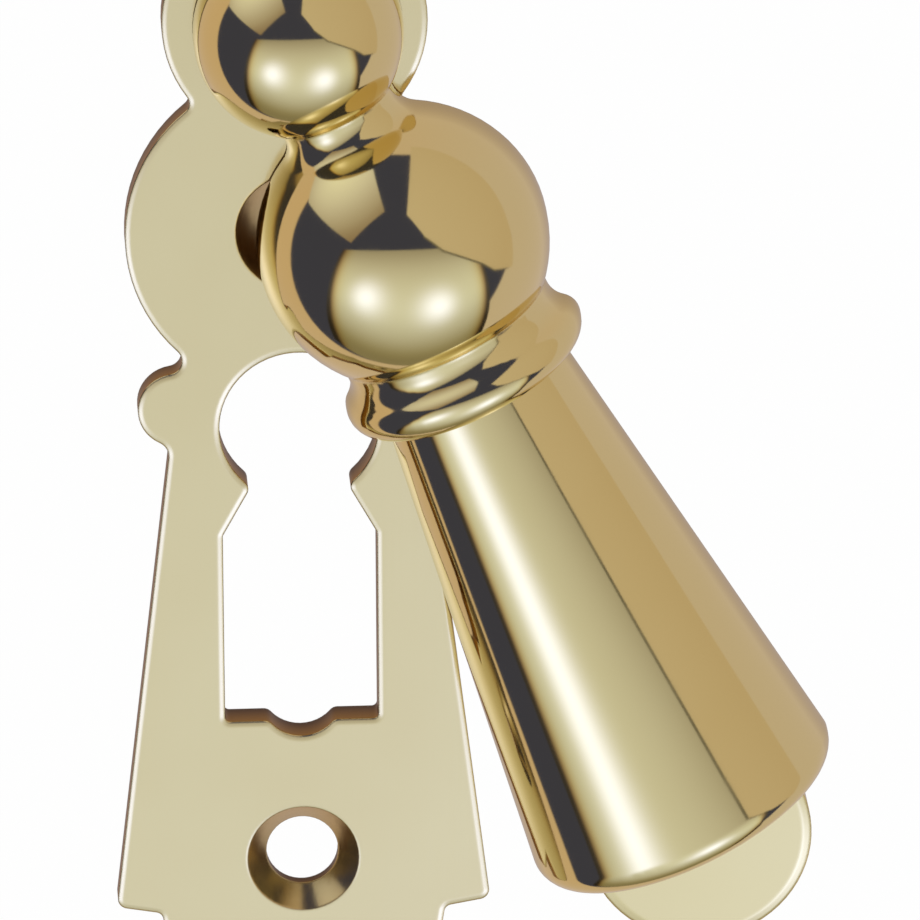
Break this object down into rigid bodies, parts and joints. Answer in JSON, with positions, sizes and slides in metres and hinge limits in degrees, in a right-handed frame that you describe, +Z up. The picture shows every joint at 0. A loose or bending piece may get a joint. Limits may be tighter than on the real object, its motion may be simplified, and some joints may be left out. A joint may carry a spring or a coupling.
{
  "type": "keyhole escutcheon with swing cover",
  "caption": "Brass door keyhole escutcheon: flat shaped backplate with a lever-lock keyhole and countersunk screw holes, and a half-round baluster cover that swings on a riveted pivot.",
  "frame": {"origin": "on the backplate's flat back, at the centre of the keyhole's round eye", "axes": "+Z up along the plate's length, +Y out of the back into the door, -Y towards the person at the door, +X to that person's right"},
  "size_m": [0.0405, 0.0121, 0.0685],
  "materials": {
    "satin_brass": "satin polished, faint vertical grain",
    "polished_brass": "mirror polished",
    "rivet_brass": "plain drawn, peened end"
  },
  "bodies": {
    "plate": {"backplate": "satin_brass"},
    "cover": {"swing_cover": "polished_brass", "pivot_rivet": "rivet_brass", "rivet_washer": "rivet_brass"}
  },
  "joints": [
    {"name": "cover_swing", "type": "hinge", "parent": "plate", "child": "cover", "pos_m": [0, -0.002, 0.0241], "axis": [0, 1, 0], "continuous": true}
  ]
}
